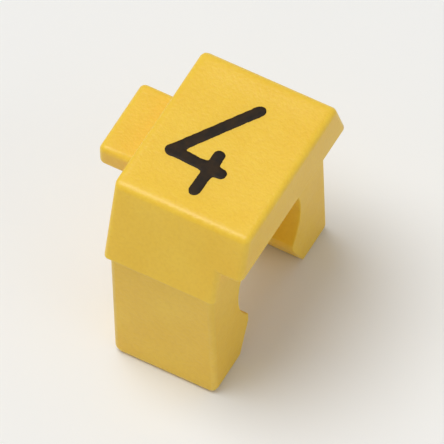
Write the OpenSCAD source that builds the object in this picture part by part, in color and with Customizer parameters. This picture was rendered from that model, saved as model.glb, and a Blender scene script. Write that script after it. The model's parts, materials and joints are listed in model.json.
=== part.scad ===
// Clip-on cable marker: one moulded clip that snaps over an insulated wire
// and carries a flat face for a printed figure.
// Millimetres. X runs along the wire, Y across it, +Z up to the printed face.
// The origin is on the clip's bore axis, midway along the clip.

/* [Wire clip] */
// Diameter of the insulated wire that the clip holds
wire_diameter = 2.4; // [2:0.1:2.8]
// Play between the wire and the bore, on the radius
wire_clearance = 0.05; // [0.02:0.01:0.15]
// Wall of each leg beside the bore, at its thinnest
leg_wall = 1.03; // [0.8:0.01:1.3]
// Length of the clip along the wire
clip_length = 2.3; // [1.8:0.02:3]
// Depth of the legs below the bore axis
leg_drop = 1.95; // [1.75:0.05:2.6]
// How much narrower the snap opening is than the wire
snap_bite = 0.6; // [0.3:0.05:1]
// Height of the straight land at the snap opening
snap_land = 0.2; // [0.1:0.05:0.4]
// How far each leg flares open from the land down to the foot
mouth_flare = 0.45; // [0.2:0.05:0.6]

/* [Head] */
// Solid plastic between the bore and the printed face
roof = 1.88; // [1.5:0.02:2.4]
// Height of the head, from its shoulder up to the printed face
head_height = 1.83; // [1.5:0.01:2]
// How far the head's foot stands out past each leg, across the wire
head_step = 0.1; // [0.08:0.01:0.25]
// How far each sloping end of the head runs in, from its foot up to the printed face
head_slope = 0.58; // [0.2:0.02:0.8]
// How far the head stands out past the clip at each side, along the wire
head_shoulder = 0.1; // [0.08:0.01:0.3]

/* [Lip and tab] */
// Width of the lip past the head's side, along the wire
lip_width = 0.5; // [0.3:0.05:0.8]
// Height of the lip, from its underside up to the printed face
lip_height = 1.07; // [0.8:0.01:1.2]
// Width of the tab past the head's other side, along the wire
tab_width = 0.88; // [0.4:0.02:1]
// Length of the tab across the wire
tab_length = 1.8; // [1:0.05:2]
// Thickness of the tab, whose underside is level with the lip's
tab_thickness = 0.55; // [0.4:0.01:0.7]

/* [Edges] */
// Radius of the head's upper edges, and of the lip and the tab
edge_radius = 0.13; // [0.06:0.01:0.15]
// Radius of the head's lower edges
shoulder_radius = 0.05; // [0.02:0.005:0.05]
// Radius of the feet's edges
foot_radius = 0.18; // [0.1:0.01:0.2]

/* [Hidden] */
$fn = 96;
overlap = 1.5 * edge_radius;
bore_radius = wire_diameter / 2 + wire_clearance;
snap_half = (wire_diameter - snap_bite) / 2;
mouth_half = snap_half + mouth_flare;
leg_half = bore_radius + leg_wall;
head_half = leg_half + head_step;
face_half = head_half - head_slope;
foot_level = -leg_drop;
face_level = bore_radius + roof;
shoulder_level = face_level - head_height;
ledge_level = face_level - lip_height;
land_level = -sqrt(bore_radius * bore_radius - snap_half * snap_half) - snap_land;
clip_half = clip_length / 2;
head_side = clip_half + head_shoulder;
lip_side = head_side + lip_width;
tab_side = head_side + tab_width;
slope_angle = atan(head_slope / head_height);

// Direction from one point to another, one unit long
function toward(from, to) = (to - from) / norm(to - from);

// Twice the area turned through at a corner: above zero where an outline that runs anticlockwise bulges out
function turning(before, here, after) =
    (here - before)[0] * (after - here)[1] - (here - before)[1] * (after - here)[0];

// Half the angle that a corner holds
function half_angle(before, here, after) =
    acos(toward(here, before) * toward(here, after)) / 2;

// Where the rounding of a corner leaves each straight side
function corner_ends(before, here, after, radius) =
    let (reach = radius / tan(half_angle(before, here, after)))
    [here + reach * toward(here, before), here + reach * toward(here, after)];

// Centre of a corner's rounding
function corner_centre(before, here, after, radius) =
    here + radius / sin(half_angle(before, here, after))
         * toward([0, 0], toward(here, before) + toward(here, after));

// Flat outline, anticlockwise, with each corner rounded by its own radius, or left sharp at zero
module rounded_outline(points, radii) {
    last = len(points) - 1;
    corners = [for (i = [0:last])
        [points[i == 0 ? last : i - 1], points[i], points[i == last ? 0 : i + 1], radii[i]]];
    difference() {
        union() {
            polygon([for (c = corners)
                each c[3] > 0 ? corner_ends(c[0], c[1], c[2], c[3]) : [c[1]]]);
            for (c = corners)
                if (c[3] > 0 && turning(c[0], c[1], c[2]) > 0)
                    translate(corner_centre(c[0], c[1], c[2], c[3]))
                        circle(r = c[3]);
        }
        for (c = corners)
            if (c[3] > 0 && turning(c[0], c[1], c[2]) < 0)
                translate(corner_centre(c[0], c[1], c[2], c[3]))
                    circle(r = c[3]);
    }
}

// Section across the wire: feet, open mouth, legs and sloping head, as (y, z)
module cross_section() {
    rounded_outline(
        [[-leg_half, foot_level], [-mouth_half, foot_level],
         [-snap_half, land_level], [-snap_half, 0],
         [snap_half, 0], [snap_half, land_level],
         [mouth_half, foot_level], [leg_half, foot_level],
         [leg_half, shoulder_level], [head_half, shoulder_level],
         [face_half, face_level], [-face_half, face_level],
         [-head_half, shoulder_level], [-leg_half, shoulder_level]],
        [foot_radius, foot_radius, edge_radius, 0, 0, edge_radius, foot_radius, foot_radius,
         0, shoulder_radius, edge_radius, edge_radius, shoulder_radius, 0]);
}

// Outline seen from the wire's side: clip, shoulders and lip, as (x, z)
module front_outline() {
    rounded_outline(
        [[-clip_half, foot_level], [clip_half, foot_level],
         [clip_half, shoulder_level], [head_side, shoulder_level],
         [head_side, ledge_level], [lip_side, ledge_level],
         [lip_side, face_level], [-head_side, face_level],
         [-head_side, shoulder_level], [-clip_half, shoulder_level]],
        [foot_radius, foot_radius, 0, shoulder_radius, edge_radius, edge_radius,
         edge_radius, edge_radius, shoulder_radius, 0]);
}

// Clip and head in one: the shape that both outlines allow
module body() {
    intersection() {
        translate([-head_side, 0, 0])
            rotate([90, 0, 90])
                linear_extrude(height = head_side + lip_side)
                    cross_section();
        rotate([90, 0, 0])
            linear_extrude(height = 2 * head_half, center = true)
                front_outline();
    }
}

// Bar that rounds an upright edge when cut away: the edge stands at the origin, the solid at +X and +Y
module edge_bar(height) {
    linear_extrude(height = height)
        difference() {
            translate([-overlap, -overlap])
                square(edge_radius + overlap);
            translate([edge_radius, edge_radius])
                circle(r = edge_radius);
        }
}

// Bars along both sloping edges of one side of the head, between two levels
module slope_bars(side, low, high) {
    for (end = [0, 1])
        mirror([0, end, 0])
            intersection() {
                translate([side, -head_half, shoulder_level])
                    mirror([side > 0 ? 1 : 0, 0, 0])
                        rotate([-slope_angle, 0, 0])
                            edge_bar(2 * head_height);
                translate([-tab_side, -2 * head_half, low])
                    cube([tab_side + 2 * lip_side, 4 * head_half, high - low]);
            }
}

// Bars along the four upright edges of the clip
module clip_bars() {
    for (side = [0, 1], end = [0, 1])
        mirror([side, 0, 0])
            mirror([0, end, 0])
                translate([-clip_half, -leg_half, foot_level - overlap])
                    edge_bar(shoulder_level - foot_level + overlap);
}

// Tab on the side away from the lip, rounded where it stands free
module tab() {
    intersection() {
        translate([0, 0, ledge_level])
            linear_extrude(height = tab_thickness)
                rounded_outline(
                    [[-tab_side, -tab_length / 2], [-head_side + overlap, -tab_length / 2],
                     [-head_side + overlap, tab_length / 2], [-tab_side, tab_length / 2]],
                    [edge_radius, 0, 0, edge_radius]);
        rotate([90, 0, 0])
            linear_extrude(height = tab_length, center = true)
                rounded_outline(
                    [[-tab_side, ledge_level], [-head_side + overlap, ledge_level],
                     [-head_side + overlap, ledge_level + tab_thickness],
                     [-tab_side, ledge_level + tab_thickness]],
                    [edge_radius, 0, 0, edge_radius]);
        translate([-tab_side, 0, 0])
            rotate([90, 0, 90])
                linear_extrude(height = tab_width + overlap)
                    rounded_outline(
                        [[-tab_length / 2, ledge_level], [tab_length / 2, ledge_level],
                         [tab_length / 2, ledge_level + tab_thickness],
                         [-tab_length / 2, ledge_level + tab_thickness]],
                        [edge_radius, edge_radius, edge_radius, edge_radius]);
    }
}

// Bore for the wire, right through the clip
module wire_bore() {
    translate([-lip_side, 0, 0])
        rotate([0, 90, 0])
            cylinder(r = bore_radius, h = 2 * lip_side);
}

// The whole marker, moulded in one piece
module marker() {
    color("#EBC851")
        difference() {
            union() {
                difference() {
                    body();
                    clip_bars();
                    slope_bars(-head_side, shoulder_level, face_level + overlap);
                    slope_bars(head_side, shoulder_level, ledge_level);
                    slope_bars(lip_side, ledge_level - overlap, face_level + overlap);
                }
                tab();
            }
            wire_bore();
        }
}

marker();
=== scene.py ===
# %% [markdown]
# # A clip-on cable marker
# The object is one small moulded marker: an open clip that snaps over an insulated
# wire, with a flat face on top that carries a printed 4.
# The CAD model holds its place and its sizes. This lesson adds what a close look
# shows: softened edges, the skin that a mould leaves, and ink.

# %% Load the CAD model
import json
import math

import bmesh
import bpy
from mathutils import Matrix, Vector, noise

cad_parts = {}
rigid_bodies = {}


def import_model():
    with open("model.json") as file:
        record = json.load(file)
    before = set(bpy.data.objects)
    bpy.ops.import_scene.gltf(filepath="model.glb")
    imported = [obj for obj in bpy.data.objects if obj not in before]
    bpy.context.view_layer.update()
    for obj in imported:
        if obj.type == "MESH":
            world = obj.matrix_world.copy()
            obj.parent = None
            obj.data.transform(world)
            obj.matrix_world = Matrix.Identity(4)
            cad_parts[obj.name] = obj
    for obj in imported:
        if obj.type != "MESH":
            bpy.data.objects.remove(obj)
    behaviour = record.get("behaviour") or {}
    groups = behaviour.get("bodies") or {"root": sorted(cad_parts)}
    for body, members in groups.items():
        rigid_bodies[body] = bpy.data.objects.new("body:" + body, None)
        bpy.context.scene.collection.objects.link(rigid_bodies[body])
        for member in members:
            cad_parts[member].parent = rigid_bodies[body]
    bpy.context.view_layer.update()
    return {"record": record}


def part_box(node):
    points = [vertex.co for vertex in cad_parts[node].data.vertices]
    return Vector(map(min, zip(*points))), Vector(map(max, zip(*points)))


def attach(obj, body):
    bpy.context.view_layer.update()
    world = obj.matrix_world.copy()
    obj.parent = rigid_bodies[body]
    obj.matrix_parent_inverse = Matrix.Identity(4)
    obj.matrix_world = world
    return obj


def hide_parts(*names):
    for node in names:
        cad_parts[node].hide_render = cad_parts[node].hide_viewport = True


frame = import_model()
MM = 0.001


# %% [markdown]
# ## Sizes
# The wire runs along X, the figure's top points to +Y and the printed face looks up.
# The bore, the reach and the heights are read from the CAD model, and the sizes in between
# are repeated here. The marker is only 5 mm tall. Blender's booleans and bevels are surer
# on a shape a few units across than on one a few thousandths across, so the pieces are
# drawn in millimetres and brought down to metres at the end.

# %% Sizes in millimetres
# The bore's radius and the clip's length, from the wire's mount in the record
wire_clip = frame["record"]["mounts"][0]["dims"]
BORE, CLIP_HALF = wire_clip["r_mm"], wire_clip["length_mm"] / 2
# The legs, and the opening that the wire is pushed through
LEG_WALL, SNAP_HALF, MOUTH_FLARE, LAND_HEIGHT = 1.03, 0.9, 0.45, 0.2
LEG_HALF, MOUTH_HALF = BORE + LEG_WALL, SNAP_HALF + MOUTH_FLARE
# The head, which stands out past the clip on all sides and leans in at its two ends
HEAD_STEP, HEAD_LEAN, HEAD_HEIGHT = 0.1, 0.58, 1.83
HEAD_SIDE, HEAD_HALF = CLIP_HALF + HEAD_STEP, LEG_HALF + HEAD_STEP
FACE_HALF, SLOPE = HEAD_HALF - HEAD_LEAN, HEAD_LEAN / HEAD_HEIGHT
# The lip and the tab, which reach as far as the whole marker does
LIP_HEIGHT, TAB_HALF, TAB_THICKNESS = 1.07, 0.9, 0.55
node_low, node_high = (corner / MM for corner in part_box("marker"))
TAB_SIDE, LIP_SIDE = -node_low.x, node_high.x
# The heights, from the feet up to the printed face
FOOT, FACE = node_low.z, node_high.z
SHOULDER, LEDGE = FACE - HEAD_HEIGHT, FACE - LIP_HEIGHT
NECK = -math.sqrt(BORE ** 2 - SNAP_HALF ** 2)
LAND = NECK - LAND_HEIGHT
levels = (FOOT, SHOULDER, LEDGE, FACE)
print("levels, mm: foot %.2f, shoulder %.2f, ledge %.2f, face %.2f" % levels)

# %% [markdown]
# ## The clip
# Below the head two legs stand round the wire. Between them is the round bore, a narrow
# neck that the wire is pushed through, and a mouth that widens to the feet.
# It could be cut from a block with a cylinder. Here its section is drawn as one outline,
# because the mouth opens the bore and a single outline can follow both.

# %% Helpers for solids, and the clip
def solid(name, points, faces):
    mesh = bpy.data.meshes.new(name)
    mesh.from_pydata(points, [], faces)
    shape = bmesh.new()
    shape.from_mesh(mesh)
    bmesh.ops.recalc_face_normals(shape, faces=shape.faces)
    shape.to_mesh(mesh)
    shape.free()
    made = bpy.data.objects.new(name, mesh)
    bpy.context.scene.collection.objects.link(made)
    return made


def between(name, near, far):
    # Closed solid between two outlines with the same number of points
    count = len(near)
    after = [(i + 1) % count for i in range(count)]
    sides = [(i, after[i], count + after[i], count + i) for i in range(count)]
    ends = [tuple(range(count)), tuple(range(count, 2 * count))]
    return solid(name, near + far, ends + sides)


BORE_STEPS = 96
# How far one part reaches into the next before they are joined
BURIED = 0.2
neck_angle = math.atan2(NECK, SNAP_HALF)
sweep = math.pi - 2 * neck_angle
bore_arc = []
for step in range(BORE_STEPS + 1):
    angle = math.pi - neck_angle - sweep * step / BORE_STEPS
    bore_arc.append((BORE * math.cos(angle), BORE * math.sin(angle)))
section = [(-LEG_HALF, FOOT), (-MOUTH_HALF, FOOT), (-SNAP_HALF, LAND)] + bore_arc
section += [(SNAP_HALF, LAND), (MOUTH_HALF, FOOT), (LEG_HALF, FOOT)]
section += [(LEG_HALF, SHOULDER + BURIED), (-LEG_HALF, SHOULDER + BURIED)]
clip = between(
    "clip",
    [(-CLIP_HALF, y, z) for y, z in section],
    [(CLIP_HALF, y, z) for y, z in section],
)
print("clip section:", len(section), "points, neck", round(2 * SNAP_HALF, 2), "mm wide")

# %% [markdown]
# ## The head, its lip and its tab
# The head is a block whose two ends slope in towards the printed face. A lip stands out
# along one side and a short tab, a little lower, on the other, so that figures set side by
# side on a wire close up. It could be a block with its ends cut off. Here its outline is
# drawn as seen from the front and repeated at the back, with each point moved in by the
# slope at its own height. That keeps both sloping ends flat.

# %% Head and tab
def head_reach(z):
    return FACE_HALF + SLOPE * (FACE - z)


front_outline = [(-HEAD_SIDE, SHOULDER), (HEAD_SIDE, SHOULDER), (HEAD_SIDE, LEDGE)]
front_outline += [(LIP_SIDE, LEDGE), (LIP_SIDE, FACE), (-HEAD_SIDE, FACE)]
head = between(
    "head",
    [(x, -head_reach(z), z) for x, z in front_outline],
    [(x, head_reach(z), z) for x, z in front_outline],
)
tab_top = LEDGE + TAB_THICKNESS
tab_corners = [(-TAB_HALF, LEDGE), (TAB_HALF, LEDGE), (TAB_HALF, tab_top), (-TAB_HALF, tab_top)]
tab = between(
    "tab",
    [(-TAB_SIDE, y, z) for y, z in tab_corners],
    [(-HEAD_SIDE + BURIED, y, z) for y, z in tab_corners],
)
print("head slopes", round(math.degrees(math.atan(SLOPE)), 1), "degrees")

# %% [markdown]
# ## Marks of the mould
# Pins push a moulded part out of its mould and leave shallow round marks, here one under
# each foot. The plastic ran in through a gate, which leaves a small dimple with the stub
# that was twisted off, here at the back of the head. They could be painted as bump, but a
# dimple has a rim that catches light from all sides, so they are cut into the shape.

# %% Pin marks and gate
def disc(name, radius, thickness, centre, axis, steps=40):
    # Short cylinder whose middle is at the centre
    angles = [2 * math.pi * i / steps for i in range(steps)]
    ring = [(radius * math.cos(a), radius * math.sin(a)) for a in angles]
    half = thickness / 2
    made = between(name, [(u, v, -half) for u, v in ring], [(u, v, half) for u, v in ring])
    turn = Vector(axis).to_track_quat("Z", "Y").to_matrix().to_4x4()
    made.data.transform(Matrix.Translation(centre) @ turn)
    return made


PIN_RADIUS, PIN_DEPTH = 0.22, 0.03
GATE_RADIUS, GATE_DEPTH, GATE_HEIGHT = 0.3, 0.05, 0.42 * HEAD_HEIGHT
STUB_RADIUS, STUB_HEIGHT, STUB_ROOT = 0.13, 0.035, 0.1
pin_y = (MOUTH_HALF + LEG_HALF) / 2
pin_spots = [Vector((0, side * pin_y, FOOT)) for side in (-1, 1)]
pins = [disc("pin", PIN_RADIUS, 2 * PIN_DEPTH, spot, (0, 0, 1)) for spot in pin_spots]
gate_z = SHOULDER + GATE_HEIGHT
gate_axis = Vector((0, 1, SLOPE)).normalized()
gate_spot = Vector((0, head_reach(gate_z), gate_z))
gate = disc("gate", GATE_RADIUS, 2 * GATE_DEPTH, gate_spot, gate_axis)
# The stub stands on the dimple's floor. Both depths are below the head's surface
stub_low, stub_high = GATE_DEPTH + STUB_ROOT, GATE_DEPTH - STUB_HEIGHT
stub_spot = gate_spot - gate_axis * (stub_low + stub_high) / 2
stub = disc("stub", STUB_RADIUS, stub_low - stub_high, stub_spot, gate_axis)
print("gate dimple", 2 * GATE_RADIUS, "mm across")

# %% [markdown]
# ## One moulded piece
# The real marker comes out of the mould in one piece, so the parts are joined into one
# closed mesh. Overlapping meshes would also render, but the seams between them couldn't be
# rounded. The exact boolean is used, then faces that lie in one plane are merged.

# %% Join the parts
def applied(piece):
    graph = bpy.context.evaluated_depsgraph_get()
    mesh = bpy.data.meshes.new_from_object(piece.evaluated_get(graph))
    piece.modifiers.clear()
    piece.data = mesh


SAME_POINT, SAME_PLANE = 1e-5, math.radians(0.5)
steps = [("UNION", clip), ("UNION", tab), ("DIFFERENCE", gate), ("UNION", stub)]
steps += [("DIFFERENCE", pin) for pin in pins]
for operation, other in steps:
    boolean = head.modifiers.new(other.name, "BOOLEAN")
    boolean.operation, boolean.object, boolean.solver = operation, other, "EXACT"
    applied(head)
    bpy.data.objects.remove(other)
shape = bmesh.new()
shape.from_mesh(head.data)
bmesh.ops.remove_doubles(shape, verts=shape.verts, dist=SAME_POINT)
bmesh.ops.dissolve_limit(
    shape, angle_limit=SAME_PLANE, verts=shape.verts, edges=shape.edges)
print("sharp body:", len(shape.faces), "faces,", round(shape.calc_volume(), 2), "mm3")

# %% [markdown]
# ## Rounded edges
# No moulded edge is sharp: each has a small radius, largest at the feet, and each inside
# corner a fillet. A rounded edge is also what makes a small part look real, because it
# catches a thin line of light. One bevel for all edges would need one radius. A bevel with
# a weight on each edge gives every edge its own. Edges that hardly bend, such as those
# between the facets of the bore, are left alone.

# %% Radius of an edge
EDGE, FOOT_EDGE, SHOULDER_EDGE = 0.13, 0.18, 0.07
RIM, FILLET, MARK = 0.027, 0.02, 0.012
NEAR, MARK_MARGIN = 0.005, 0.05
HARDLY_BENT = math.radians(12)
marks = [(gate_spot, GATE_RADIUS)] + [(spot, PIN_RADIUS) for spot in pin_spots]


def on_mark(point):
    return any((point - spot).length < radius + MARK_MARGIN for spot, radius in marks)


def edge_radius(edge):
    if len(edge.link_faces) != 2 or edge.calc_face_angle() < HARDLY_BENT:
        return 0
    middle = (edge.verts[0].co + edge.verts[1].co) / 2
    if on_mark(middle):
        return MARK
    if edge.calc_face_angle_signed() < 0:
        under_lip = abs(middle.x - HEAD_SIDE) < NEAR and abs(middle.z - LEDGE) < NEAR
        return EDGE if under_lip else FILLET
    if middle.z < FOOT + NEAR:
        at_mouth = abs(middle.x) < NEAR and abs(middle.y) < MOUTH_HALF + NEAR
        return EDGE if at_mouth else FOOT_EDGE
    if abs(middle.z - SHOULDER) < NEAR:
        return SHOULDER_EDGE
    if middle.z < SHOULDER and abs(middle.y) < LEG_HALF - NEAR:
        return EDGE if abs(middle.z - LAND) < NEAR else RIM
    return EDGE


print("radii from", MARK, "to", FOOT_EDGE, "mm")

# %% Round the edges
EDGE_STEPS = 6
weights = shape.edges.layers.float.new("bevel_weight_edge")
for edge in shape.edges:
    edge[weights] = edge_radius(edge) / FOOT_EDGE
rounded = sum(1 for edge in shape.edges if edge[weights] > 0)
shape.to_mesh(head.data)
shape.free()
bevel = head.modifiers.new("edges", "BEVEL")
bevel.limit_method, bevel.width, bevel.segments = "WEIGHT", FOOT_EDGE, EDGE_STEPS
bevel.use_clamp_overlap = False
applied(head)
print("rounded", rounded, "edges:", len(head.data.polygons), "faces")

# %% [markdown]
# ## The sunk face
# Thick plastic shrinks as it cools, so the middle of a broad face sinks a little. It is
# two hundredths of a millimetre here, just enough to bend a reflection. Bump could only
# pretend that. The face gets a narrow border instead, the area inside it is cut into a
# grid, and the points there are lowered. The print then lies in the hollow, below the
# height of the rim.

# %% Sink the printed face
SINK, SINK_EDGE = 0.02, 0.3
GRID, BORDER = 0.12, 0.05
LEVEL, FLUSH = 0.9999, 0.0005
FACE_MIDDLE = (LIP_SIDE - HEAD_SIDE) / 2
FACE_WIDE = (LIP_SIDE + HEAD_SIDE) / 2 - EDGE
FACE_LONG = FACE_HALF - EDGE


def eased(t):
    t = min(max(t, 0), 1)
    return t * t * (3 - 2 * t)


def sunk(x, y):
    across = eased((1 - abs(x - FACE_MIDDLE) / FACE_WIDE) / SINK_EDGE)
    along = eased((1 - abs(y) / FACE_LONG) / SINK_EDGE)
    return SINK * across * along


shape = bmesh.new()
shape.from_mesh(head.data)
level_faces = [f for f in shape.faces if f.normal.z > LEVEL]
top = next(f for f in level_faces if abs(f.calc_center_median().z - FACE) < NEAR)
bmesh.ops.inset_region(shape, faces=[top], thickness=BORDER, use_even_offset=True)
cut = [*top.verts, *top.edges, top]
for way, low, high in (((1, 0, 0), -HEAD_SIDE, LIP_SIDE), ((0, 1, 0), -FACE_HALF, FACE_HALF)):
    way = Vector(way)
    for k in range(1, int((high - low) / GRID)):
        spot = way * (low + k * GRID)
        cut = bmesh.ops.bisect_plane(
            shape, geom=cut, dist=SAME_POINT, plane_co=spot, plane_no=way)["geom"]
for vertex in shape.verts:
    if vertex.co.z > FACE - FLUSH:
        vertex.co.z -= sunk(vertex.co.x, vertex.co.y)
grid_faces = sum(isinstance(item, bmesh.types.BMFace) for item in cut)
print("printed face:", grid_faces, "faces, sunk", SINK, "mm")

# %% [markdown]
# ## From millimetres to the marker's place
# The finished body comes down to metres and takes the CAD solid's place. Each face also
# keeps a number that says how round it is, which the plastic uses later to polish the
# edges. Weighted normals keep the broad faces flat while the edges shade smoothly.

# %% Say how round each face is
BORE_SKIN, FULLY_ROUND = 0.02, 30
mouth_y, mouth_z = FOOT - LAND, MOUTH_HALF - SNAP_HALF
flat_ways = [(1, 0, 0), (0, 1, 0), (0, 0, 1), (0, 1, SLOPE), (0, -1, SLOPE)]
flat_ways += [(0, mouth_y, mouth_z), (0, -mouth_y, mouth_z)]
flat_ways = [Vector(way).normalized() for way in flat_ways]


def roundness(face):
    # From 0 on the flat faces and in the bore to 1 in the middle of an edge
    centre = face.calc_center_median()
    if abs(math.hypot(centre.y, centre.z) - BORE) < BORE_SKIN:
        return 0
    lean = math.acos(min(1, max(abs(face.normal.dot(way)) for way in flat_ways)))
    return eased(math.degrees(lean) / FULLY_ROUND)


shape.normal_update()
polish = shape.faces.layers.float.new("edge_polish")
for face in shape.faces:
    face[polish] = roundness(face)
    face.smooth = True
print("round faces:", sum(1 for face in shape.faces if face[polish] > 0.5))

# %% Finish the body
def open_edges(shape):
    return sum(1 for edge in shape.edges if len(edge.link_faces) != 2)


print("body: %.2f mm3, %d open edges" % (shape.calc_volume(), open_edges(shape)))
bmesh.ops.scale(shape, vec=(MM, MM, MM), verts=shape.verts)
shape.to_mesh(head.data)
shape.free()
body = head
body.name = body.data.name = "moulded_body"
body.modifiers.new("broad_faces", "WEIGHTED_NORMAL").keep_sharp = True
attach(body, "root")
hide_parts("marker")

# %% [markdown]
# ## The printed figure
# The 4 is printed in strokes of even width with round ends: a long slanting stroke, a bar
# and a short upright. Text would bring a typeface with it, so the strokes are written as
# lines. The distance to the nearest stroke gives the edge of the ink, and a little noise in
# that distance gives the ragged rim that ink has on plastic. Where strokes meet, ink runs
# together, so their distances are blended.

# %% Distance to the strokes
STROKE_HALF = 0.125
FIGURE_X, FIGURE_Y = 0.0, -0.25
CORNER = (-0.64, -0.32)
SLANT = ((0.44, 1.28), CORNER)
BAR = (CORNER, (0.48, -0.38))
UPRIGHT = ((0.25, -0.02), (0.22, -0.95))
STROKES = [SLANT, BAR, UPRIGHT]
RUN_TOGETHER = 0.03
# How deep the rim is ragged, over what length, and a layer of the noise for each
RAGGED = [(0.010, 0.12, 0), (0.006, 0.035, 5)]


def to_stroke(x, y, stroke):
    (ax, ay), (bx, by) = stroke
    dx, dy = bx - ax, by - ay
    t = min(max(((x - ax) * dx + (y - ay) * dy) / (dx * dx + dy * dy), 0), 1)
    return math.hypot(x - ax - t * dx, y - ay - t * dy)


def ink_edge(x, y):
    # Below zero inside the ink
    near = [to_stroke(x, y, stroke) for stroke in STROKES]
    joined = -RUN_TOGETHER * math.log(sum(math.exp(-d / RUN_TOGETHER) for d in near))
    joined = max(joined, min(near) - RUN_TOGETHER / 2)
    ragged = sum(deep * noise.noise((x / long, y / long, layer)) for deep, long, layer in RAGGED)
    return joined - STROKE_HALF + ragged


bar_x, bar_y = ((a + b) / 2 for a, b in zip(*BAR))
print("middle of the bar:", round(ink_edge(bar_x, bar_y), 3), "mm from the ink's edge")

# %% [markdown]
# ## The ink
# Ink lies on the face as a layer about a hundredth of a millimetre thick, thinnest at its
# rim. It could be cut from a sheet with a boolean, but the ragged rim would slow that down.
# The area is walked in small squares instead, and each square keeps the part of it that is
# inside the edge. The layer is then pulled down a little way into the plastic and closed.

# %% Upper skin of the ink
CELL = 0.02
INK, INK_RIM, INK_ROOT = 0.008, 0.05, 0.006
xs = [x for stroke in STROKES for x, y in stroke]
ys = [y for stroke in STROKES for x, y in stroke]
margin = 2 * STROKE_HALF
x_start, y_start = min(xs) - margin, min(ys) - margin
columns = math.ceil((max(xs) - min(xs) + 2 * margin) / CELL)
rows = math.ceil((max(ys) - min(ys) + 2 * margin) / CELL)
depths = {}
for i in range(columns + 1):
    for j in range(rows + 1):
        depths[i, j] = ink_edge(x_start + i * CELL, y_start + j * CELL)
shape = bmesh.new()
ink_points = {}


def ink_point(key, x, y, depth):
    if key not in ink_points:
        at_x, at_y = x + FIGURE_X, y + FIGURE_Y
        height = FACE - sunk(at_x, at_y) + INK * eased(depth / INK_RIM)
        ink_points[key] = shape.verts.new((at_x, at_y, height))
    return ink_points[key]


for i in range(columns):
    for j in range(rows):
        corners = [(i, j), (i + 1, j), (i + 1, j + 1), (i, j + 1)]
        loop = []
        for here, after in zip(corners, corners[1:] + corners[:1]):
            a, b = depths[here], depths[after]
            x, y = x_start + here[0] * CELL, y_start + here[1] * CELL
            if a < 0:
                loop.append(ink_point(here, x, y, -a))
            if (a < 0) != (b < 0):
                t = a / (a - b)
                rim_x = x + t * (after[0] - here[0]) * CELL
                rim_y = y + t * (after[1] - here[1]) * CELL
                loop.append(ink_point(tuple(sorted((here, after))), rim_x, rim_y, 0))
        if len(loop) > 2:
            shape.faces.new(loop)
print("ink's upper skin:", len(shape.faces), "faces")

# %% Close the ink
FACES_UP = 0.5
lower = bmesh.ops.extrude_face_region(shape, geom=shape.faces[:])["geom"]
for item in lower:
    if isinstance(item, bmesh.types.BMVert):
        item.co.z = FACE - sunk(item.co.x, item.co.y) - INK_ROOT
bmesh.ops.recalc_face_normals(shape, faces=shape.faces)
for face in shape.faces:
    face.smooth = abs(face.normal.z) > FACES_UP
print("ink:", len(shape.faces), "faces,", open_edges(shape), "open edges")
bmesh.ops.scale(shape, vec=(MM, MM, MM), verts=shape.verts)
ink_mesh = bpy.data.meshes.new("printed_figure")
shape.to_mesh(ink_mesh)
shape.free()
figure = bpy.data.objects.new("printed_figure", ink_mesh)
bpy.context.scene.collection.objects.link(figure)
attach(figure, "root")

# %% [markdown]
# ## Materials
# Colours are written as hex values, the way a colour chart gives them, and turned into the
# linear values that Blender mixes. One small function adds a node, sets it up and links it.
# Patterns are sized in millimetres: a noise with features of s mm has a scale of one over s.

# %% Helpers for materials
def linear(code):
    levels = [int(code[i:i + 2], 16) / 255 for i in (1, 3, 5)]
    return [v / 12.92 if v <= 0.04045 else ((v + 0.055) / 1.055) ** 2.4 for v in levels] + [1]


def add(tree, kind, values=None, links=None, **settings):
    made = tree.nodes.new(kind)
    for name, value in settings.items():
        setattr(made, name, value)
    for socket, value in (values or {}).items():
        made.inputs[socket].default_value = value
    for socket, source in (links or {}).items():
        tree.links.new(source, made.inputs[socket])
    return made


def per_mm(size):
    return 1 / (size * MM)


def material(name):
    made = bpy.data.materials.new(name)
    made.use_nodes = True
    return made, made.node_tree, made.node_tree.nodes["Principled BSDF"]


DYE_DEEP, DYE_PALE = "#F1C331", "#F5CB3D"
print("yellow in linear light:", [round(v, 3) for v in linear(DYE_DEEP)])

# %% [markdown]
# ## Moulded polyamide: the colour
# Clip-on markers are moulded in polyamide, which is tough and springy. It is dyed through,
# so to the eye its yellow is deep and even, with soft clouds where the dye mixed less well.
# The mould was spark-eroded, which leaves fine pits. The pits are painted a shade darker
# than the skin between them, as painted shade in their hollows. That grain is about 0.03 mm
# on the real part, too fine to show, so it is drawn at 0.07 mm. The edges are rubbed a little
# paler. One flat yellow would be quicker, but it looks like paint and not like plastic.

# %% Yellow polyamide: dye, rubbed edges and painted shade in the pits
CLOUD, RUB, GRAIN = 1.4, 0.35, 0.07
plastic, tree, shader = material("moulded_polyamide_yellow")
place = add(tree, "ShaderNodeTexCoord").outputs["Object"]
pigment = add(
    tree, "ShaderNodeTexNoise",
    {"Scale": per_mm(CLOUD), "Detail": 3.0, "Roughness": 0.55}, {"Vector": place})
dye = add(tree, "ShaderNodeValToRGB", links={"Fac": pigment.outputs["Fac"]})
for stop, at, code in zip(dye.color_ramp.elements, (0.3, 0.7), (DYE_DEEP, DYE_PALE)):
    stop.position, stop.color = at, linear(code)
rounding = add(tree, "ShaderNodeAttribute", attribute_name="edge_polish").outputs["Fac"]
rub = add(tree, "ShaderNodeTexNoise", {"Scale": per_mm(RUB), "Detail": 4.0}, {"Vector": place})
rubbed = add(
    tree, "ShaderNodeMath",
    links={0: rounding, 1: rub.outputs["Fac"]}, operation="MULTIPLY")
paler = add(
    tree, "ShaderNodeMix", {"B": linear("#F9CF44")},
    {"Factor": rubbed.outputs[0], "A": dye.outputs["Color"]}, data_type="RGBA")
grain = add(
    tree, "ShaderNodeTexNoise", {"Scale": per_mm(GRAIN), "Detail": 2.0}, {"Vector": place})
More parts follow.
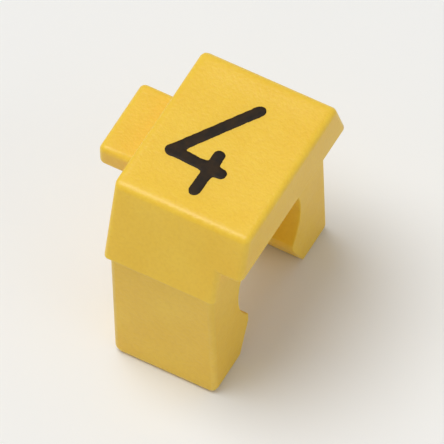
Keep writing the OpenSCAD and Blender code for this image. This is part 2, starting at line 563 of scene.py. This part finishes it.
# Painted shade: where the grain dips, the colour is mixed towards a darker yellow
pit_shade_mask = add(
    tree, "ShaderNodeMapRange",
    {"From Min": 0.6, "From Max": 0.3, "To Max": 0.17}, {"Value": grain.outputs["Fac"]})
painted_pit_shade = add(
    tree, "ShaderNodeMix", {"B": linear("#DDAA24")},
    {"Factor": pit_shade_mask.outputs["Result"], "A": paler.outputs["Result"]}, data_type="RGBA")
tree.links.new(painted_pit_shade.outputs["Result"], shader.inputs["Base Color"])
print("plastic's colour:", len(tree.nodes), "nodes")

# %% [markdown]
# ## Moulded polyamide: the skin
# The pits give a satin gloss, a little smoother where the edges are rubbed. Broad soft
# waves in the skin come from shrinkage. Light enters a little way and comes out again,
# which softens the shaded sides. The pits and the waves could be moved points of the mesh,
# but they are so shallow that bump shows them as well with far fewer points.

# %% Yellow polyamide: gloss, grain and depth
SHEEN, WAVE = 0.5, 0.9
GRAIN_DEPTH, WAVE_DEPTH = 0.011, 0.006
POLYAMIDE_IOR, SCATTER_DEPTH = 1.53, 0.4
sheen = add(
    tree, "ShaderNodeTexNoise", {"Scale": per_mm(SHEEN), "Detail": 4.0}, {"Vector": place})
satin = add(
    tree, "ShaderNodeMapRange",
    {"To Min": 0.36, "To Max": 0.5}, {"Value": sheen.outputs["Fac"]})
smoother = add(tree, "ShaderNodeMath", {1: 0.04}, {0: rounding}, operation="MULTIPLY")
rough = add(
    tree, "ShaderNodeMath",
    links={0: satin.outputs["Result"], 1: smoother.outputs[0]}, operation="SUBTRACT")
tree.links.new(rough.outputs[0], shader.inputs["Roughness"])
waves = add(
    tree, "ShaderNodeTexNoise", {"Scale": per_mm(WAVE), "Detail": 1.0}, {"Vector": place})
swell = add(
    tree, "ShaderNodeBump",
    {"Strength": 0.5, "Distance": WAVE_DEPTH * MM}, {"Height": waves.outputs["Fac"]})
pits = add(
    tree, "ShaderNodeBump", {"Strength": 0.7, "Distance": GRAIN_DEPTH * MM},
    {"Height": grain.outputs["Fac"], "Normal": swell.outputs["Normal"]})
tree.links.new(pits.outputs["Normal"], shader.inputs["Normal"])
shader.inputs["IOR"].default_value = POLYAMIDE_IOR
shader.inputs["Subsurface Weight"].default_value = 0.2
shader.inputs["Subsurface Radius"].default_value = (1.0, 1.0, 0.4)
shader.inputs["Subsurface Scale"].default_value = SCATTER_DEPTH * MM
body.data.materials.clear()
body.data.materials.append(plastic)
print("plastic:", len(tree.nodes), "nodes")

# %% [markdown]
# ## Marking ink
# The figure is printed in a black marking ink that bites into the plastic. It dries a
# little duller than the satin around it, and it is thin enough for the yellow below to
# warm it, so its black varies towards brown. A plain black would do from afar. Up close
# the uneven cover and the small dents of the skin below tell print from paint.

# %% Black ink
COVER, DENT, DENT_DEPTH = 0.16, 0.06, 0.003
ink, tree, shader = material("black_marking_ink")
place = add(tree, "ShaderNodeTexCoord").outputs["Object"]
cover = add(
    tree, "ShaderNodeTexNoise", {"Scale": per_mm(COVER), "Detail": 4.0}, {"Vector": place})
black = add(tree, "ShaderNodeValToRGB", links={"Fac": cover.outputs["Fac"]})
for stop, at, code in zip(black.color_ramp.elements, (0.35, 0.75), ("#1C1104", "#332108")):
    stop.position, stop.color = at, linear(code)
tree.links.new(black.outputs["Color"], shader.inputs["Base Color"])
dried = add(
    tree, "ShaderNodeMapRange",
    {"To Min": 0.5, "To Max": 0.65}, {"Value": cover.outputs["Fac"]})
tree.links.new(dried.outputs["Result"], shader.inputs["Roughness"])
skin = add(
    tree, "ShaderNodeTexNoise", {"Scale": per_mm(DENT), "Detail": 2.0}, {"Vector": place})
dents = add(
    tree, "ShaderNodeBump",
    {"Strength": 0.4, "Distance": DENT_DEPTH * MM}, {"Height": skin.outputs["Fac"]})
tree.links.new(dents.outputs["Normal"], shader.inputs["Normal"])
shader.inputs["IOR"].default_value = 1.5
shader.inputs["Specular IOR Level"].default_value = 0.25
figure.data.materials.append(ink)
print("ink:", len(tree.nodes), "nodes")

# %% [markdown]
# ## Floor
# The marker stands on its feet on a pale matt sheet. A plain white would do, but paper has
# faint soft clouds, and they keep the ground from looking empty. The sheet lies a hair
# below the feet, so that no two faces share one plane.

# %% Floor
FLOOR_HALF, FLOOR_GAP, FIBRE = 1.0, 0.002, 6.0
paper, tree, shader = material("matt_paper")
place = add(tree, "ShaderNodeTexCoord").outputs["Object"]
fibre = add(
    tree, "ShaderNodeTexNoise", {"Scale": per_mm(FIBRE), "Detail": 3.0}, {"Vector": place})
tone = add(tree, "ShaderNodeValToRGB", links={"Fac": fibre.outputs["Fac"]})
for stop, code in zip(tone.color_ramp.elements, ("#F1F1EF", "#F4F4F2")):
    stop.color = linear(code)
tree.links.new(tone.outputs["Color"], shader.inputs["Base Color"])
shader.inputs["Roughness"].default_value = 0.9
level = (FOOT - FLOOR_GAP) * MM
sheet = [(-FLOOR_HALF, -FLOOR_HALF), (FLOOR_HALF, -FLOOR_HALF)]
sheet += [(FLOOR_HALF, FLOOR_HALF), (-FLOOR_HALF, FLOOR_HALF)]
floor_mesh = bpy.data.meshes.new("floor")
floor_mesh.from_pydata([(x, y, level) for x, y in sheet], [], [(0, 1, 2, 3)])
floor_mesh.materials.append(paper)
floor = bpy.data.objects.new("floor", floor_mesh)
bpy.context.scene.collection.objects.link(floor)
print("floor at", round(level / MM, 3), "mm")

# %% [markdown]
# ## Light
# The light is that of a small photo tent: an even pale surround, one large soft lamp above
# and a weaker one at the side. A sharp lamp would draw hard shadows that say more about the
# lamp than about the plastic. The large lamp stands away from where the printed face would
# mirror it into the camera, because its haze there would grey the ink.

# %% Lamps and surround
LAMP_DISTANCE, SURROUND = 0.25, 0.43


def direction(azimuth, elevation):
    # Azimuth in degrees from the front, towards +X
    a, e = math.radians(azimuth), math.radians(elevation)
    return Vector((math.sin(a) * math.cos(e), -math.cos(a) * math.cos(e), math.sin(e)))


def lamp(name, azimuth, elevation, size, power):
    data = bpy.data.lights.new(name, "AREA")
    data.shape, data.size, data.energy = "DISK", size, power
    made = bpy.data.objects.new(name, data)
    way = direction(azimuth, elevation)
    made.location = way * LAMP_DISTANCE
    made.rotation_euler = way.to_track_quat("Z", "Y").to_euler()
    bpy.context.scene.collection.objects.link(made)


lamp("main_lamp", azimuth=-78, elevation=73, size=0.18, power=0.405)
lamp("side_lamp", azimuth=80, elevation=30, size=0.2, power=0.05)
world = bpy.data.worlds.new("pale_surround")
bpy.context.scene.world = world
world.use_nodes = True
background = world.node_tree.nodes["Background"]
background.inputs["Color"].default_value = linear("#F4F4F4")
background.inputs["Strength"].default_value = SURROUND
print("lamps at", LAMP_DISTANCE, "m")

# %% [markdown]
# ## Camera
# The view is from above and to the right of the figure, through a long lens from about a
# third of a metre, so that edges that run along the marker stay almost parallel. The aim
# and the field are measured from the body itself, to bring it to the middle of the frame.

# %% Camera
VIEW_AZIMUTH, VIEW_ELEVATION, VIEW_ROLL = 31.0, 55.3, -2.4
CAMERA_DISTANCE, FILL = 0.34, 0.76
back = direction(VIEW_AZIMUTH, VIEW_ELEVATION)
turn = back.to_track_quat("Z", "Y").to_matrix()
turn = turn @ Matrix.Rotation(math.radians(VIEW_ROLL), 3, "Z")
right, up = turn.col[0], turn.col[1]
across = [v.co.dot(right) for v in body.data.vertices]
along = [v.co.dot(up) for v in body.data.vertices]
aim = right * (min(across) + max(across)) / 2 + up * (min(along) + max(along)) / 2
field = max(max(across) - min(across), max(along) - min(along)) / FILL
camera_data = bpy.data.cameras.new("camera")
camera_data.lens = camera_data.sensor_width * CAMERA_DISTANCE / field
camera_data.clip_start, camera_data.clip_end = 0.01, 10
camera = bpy.data.objects.new("camera", camera_data)
camera.matrix_world = Matrix.Translation(aim + back * CAMERA_DISTANCE) @ turn.to_4x4()
bpy.context.scene.collection.objects.link(camera)
bpy.context.scene.camera = camera
bpy.context.scene.view_settings.view_transform = "Standard"
print("field of view: %.3f mm, lens %.0f mm" % (field / MM, camera_data.lens))

# %% [markdown]
# ## Finish
# The dressed marker has to stay in the box of the CAD model. The scene is brought up to date
# before it is closed.

# %% Finish
bpy.context.view_layer.update()
